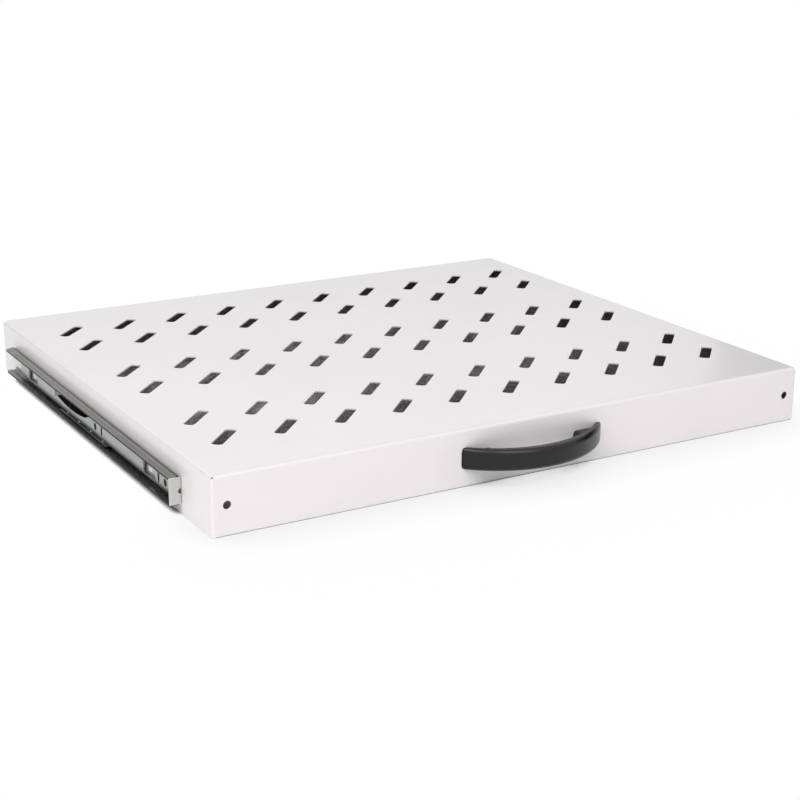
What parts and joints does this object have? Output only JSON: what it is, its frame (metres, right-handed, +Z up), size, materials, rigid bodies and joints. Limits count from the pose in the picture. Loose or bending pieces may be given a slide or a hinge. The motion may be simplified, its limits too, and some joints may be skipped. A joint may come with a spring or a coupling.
{
  "type": "sliding rack shelf",
  "caption": "Vented sheet-steel rack shelf that pulls out by a front bow handle on ball-bearing side slides with release levers.",
  "frame": {"origin": "middle of the footprint, handle included, on the surface that the shelf stands on", "axes": "+X across the shelf to its right, +Y from the front to the back, +Z up; the shelf pulls out along -Y"},
  "size_m": [0.4392, 0.393, 0.0365],
  "materials": {
    "tray_paint": "light grey powder coat, semi-gloss, fine orange peel",
    "handle_plastic": "black moulded plastic, fine grain",
    "slide_zinc": "bright zinc plate, rolled along its length",
    "cage_steel": "plain strip, oiled",
    "ball_steel": "polished bearing balls",
    "lever_plastic": "black moulded plastic",
    "fastener_zinc": "bright zinc plate",
    "rivet_black": "blackened steel"
  },
  "bodies": {
    "rack_rails": {"left_rail": "slide_zinc", "right_rail": "slide_zinc", "left_lever_rivet": "rivet_black", "right_lever_rivet": "rivet_black"},
    "shelf": {"tray": "tray_paint", "handle": "handle_plastic", "handle_screws": "fastener_zinc", "handle_washers": "fastener_zinc", "left_channel": "slide_zinc", "right_channel": "slide_zinc", "left_channel_screws": "fastener_zinc", "right_channel_screws": "fastener_zinc", "left_channel_nuts": "fastener_zinc", "right_channel_nuts": "fastener_zinc"},
    "left_ball_cage": {"left_cage": "cage_steel", "left_balls": "ball_steel"},
    "right_ball_cage": {"right_cage": "cage_steel", "right_balls": "ball_steel"},
    "left_release": {"left_lever": "lever_plastic"},
    "right_release": {"right_lever": "lever_plastic"}
  },
  "joints": [
    {"name": "shelf_slide", "type": "slide", "parent": "rack_rails", "child": "shelf", "axis": [0, -1, 0], "range_m": [0, 0.204]},
    {"name": "left_cage_roll", "type": "slide", "parent": "rack_rails", "child": "left_ball_cage", "axis": [0, -1, 0], "range_m": [0, 0.102]},
    {"name": "right_cage_roll", "type": "slide", "parent": "rack_rails", "child": "right_ball_cage", "axis": [0, -1, 0], "range_m": [0, 0.102]},
    {"name": "left_lever_tilt", "type": "hinge", "parent": "rack_rails", "child": "left_release", "pos_m": [-0.2162, 0.0392, 0.0168], "axis": [1, 0, 0], "range_deg": [-4, 4], "stiffness_Nm_per_rad": 0.01},
    {"name": "right_lever_tilt", "type": "hinge", "parent": "rack_rails", "child": "right_release", "pos_m": [0.2162, 0.0392, 0.0168], "axis": [1, 0, 0], "range_deg": [-4, 4], "stiffness_Nm_per_rad": 0.01}
  ],
  "couplings": [
    {"joint": "left_cage_roll", "follows": "shelf_slide", "ratio": 0.5},
    {"joint": "right_cage_roll", "follows": "shelf_slide", "ratio": 0.5}
  ]
}
